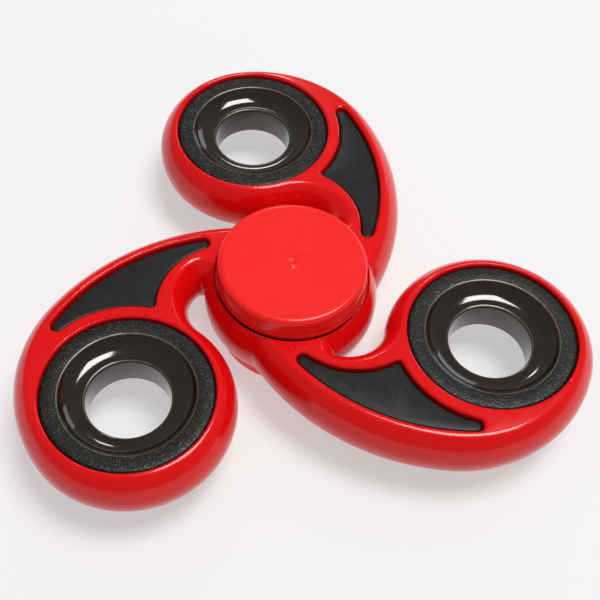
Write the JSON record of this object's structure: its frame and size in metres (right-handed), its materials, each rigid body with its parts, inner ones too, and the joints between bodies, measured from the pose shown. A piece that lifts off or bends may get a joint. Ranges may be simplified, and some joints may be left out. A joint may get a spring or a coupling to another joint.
{
  "type": "fidget spinner",
  "caption": "Swirl-armed finger spinner: a frame with inset weight rings and curved fins turns on a ball bearing between two finger caps.",
  "frame": {"origin": "centre of the spinner, on the bearing's axis and half way through the frame's thickness", "axes": "+Z along the bearing's axis towards the top cap, +Y along arm 1, whose swirl leads clockwise seen from above"},
  "size_m": [0.0821, 0.0772, 0.016],
  "materials": {
    "frame_plastic": "gloss",
    "cap_plastic": "satin",
    "fin_plastic": "satin",
    "ring_metal": "gloss black, speckled outer land",
    "bearing_steel": "ground",
    "ball_steel": "polished",
    "cage_metal": "pressed",
    "shield_steel": "pressed"
  },
  "bodies": {
    "axle": {"top_cap": "cap_plastic", "bottom_cap": "cap_plastic", "bearing_inner_ring": "bearing_steel"},
    "rotor": {"frame": "frame_plastic", "ring_weight_1": "ring_metal", "ring_weight_2": "ring_metal", "ring_weight_3": "ring_metal", "top_fin_1": "fin_plastic", "top_fin_2": "fin_plastic", "top_fin_3": "fin_plastic", "bottom_fin_1": "fin_plastic", "bottom_fin_2": "fin_plastic", "bottom_fin_3": "fin_plastic", "bearing_outer_ring": "bearing_steel", "bearing_shield_top": "shield_steel", "bearing_shield_bottom": "shield_steel"},
    "cage": {"bearing_cage": "cage_metal"},
    "ball_1": {"bearing_ball_1": "ball_steel"},
    "ball_2": {"bearing_ball_2": "ball_steel"},
    "ball_3": {"bearing_ball_3": "ball_steel"},
    "ball_4": {"bearing_ball_4": "ball_steel"},
    "ball_5": {"bearing_ball_5": "ball_steel"},
    "ball_6": {"bearing_ball_6": "ball_steel"},
    "ball_7": {"bearing_ball_7": "ball_steel"}
  },
  "joints": [
    {"name": "rotor_spin", "type": "hinge", "parent": "axle", "child": "rotor", "pos_m": [0, 0, 0], "axis": [0, 0, 1], "continuous": true},
    {"name": "cage_spin", "type": "hinge", "parent": "axle", "child": "cage", "pos_m": [0, 0, 0], "axis": [0, 0, 1], "continuous": true},
    {"name": "ball_1_roll", "type": "hinge", "parent": "cage", "child": "ball_1", "pos_m": [0.0075, 0, 0], "axis": [0, 0, 1], "continuous": true},
    {"name": "ball_2_roll", "type": "hinge", "parent": "cage", "child": "ball_2", "pos_m": [0.00468, 0.00586, 0], "axis": [0, 0, 1], "continuous": true},
    {"name": "ball_3_roll", "type": "hinge", "parent": "cage", "child": "ball_3", "pos_m": [-0.00167, 0.00731, 0], "axis": [0, 0, 1], "continuous": true},
    {"name": "ball_4_roll", "type": "hinge", "parent": "cage", "child": "ball_4", "pos_m": [-0.00676, 0.00325, 0], "axis": [0, 0, 1], "continuous": true},
    {"name": "ball_5_roll", "type": "hinge", "parent": "cage", "child": "ball_5", "pos_m": [-0.00676, -0.00325, 0], "axis": [0, 0, 1], "continuous": true},
    {"name": "ball_6_roll", "type": "hinge", "parent": "cage", "child": "ball_6", "pos_m": [-0.00167, -0.00731, 0], "axis": [0, 0, 1], "continuous": true},
    {"name": "ball_7_roll", "type": "hinge", "parent": "cage", "child": "ball_7", "pos_m": [0.00468, -0.00586, 0], "axis": [0, 0, 1], "continuous": true}
  ],
  "couplings": [
    {"joint": "cage_spin", "follows": "rotor_spin", "ratio": 0.63233},
    {"joint": "ball_1_roll", "follows": "rotor_spin", "ratio": 1.7568},
    {"joint": "ball_2_roll", "follows": "rotor_spin", "ratio": 1.7568},
    {"joint": "ball_3_roll", "follows": "rotor_spin", "ratio": 1.7568},
    {"joint": "ball_4_roll", "follows": "rotor_spin", "ratio": 1.7568},
    {"joint": "ball_5_roll", "follows": "rotor_spin", "ratio": 1.7568},
    {"joint": "ball_6_roll", "follows": "rotor_spin", "ratio": 1.7568},
    {"joint": "ball_7_roll", "follows": "rotor_spin", "ratio": 1.7568}
  ]
}
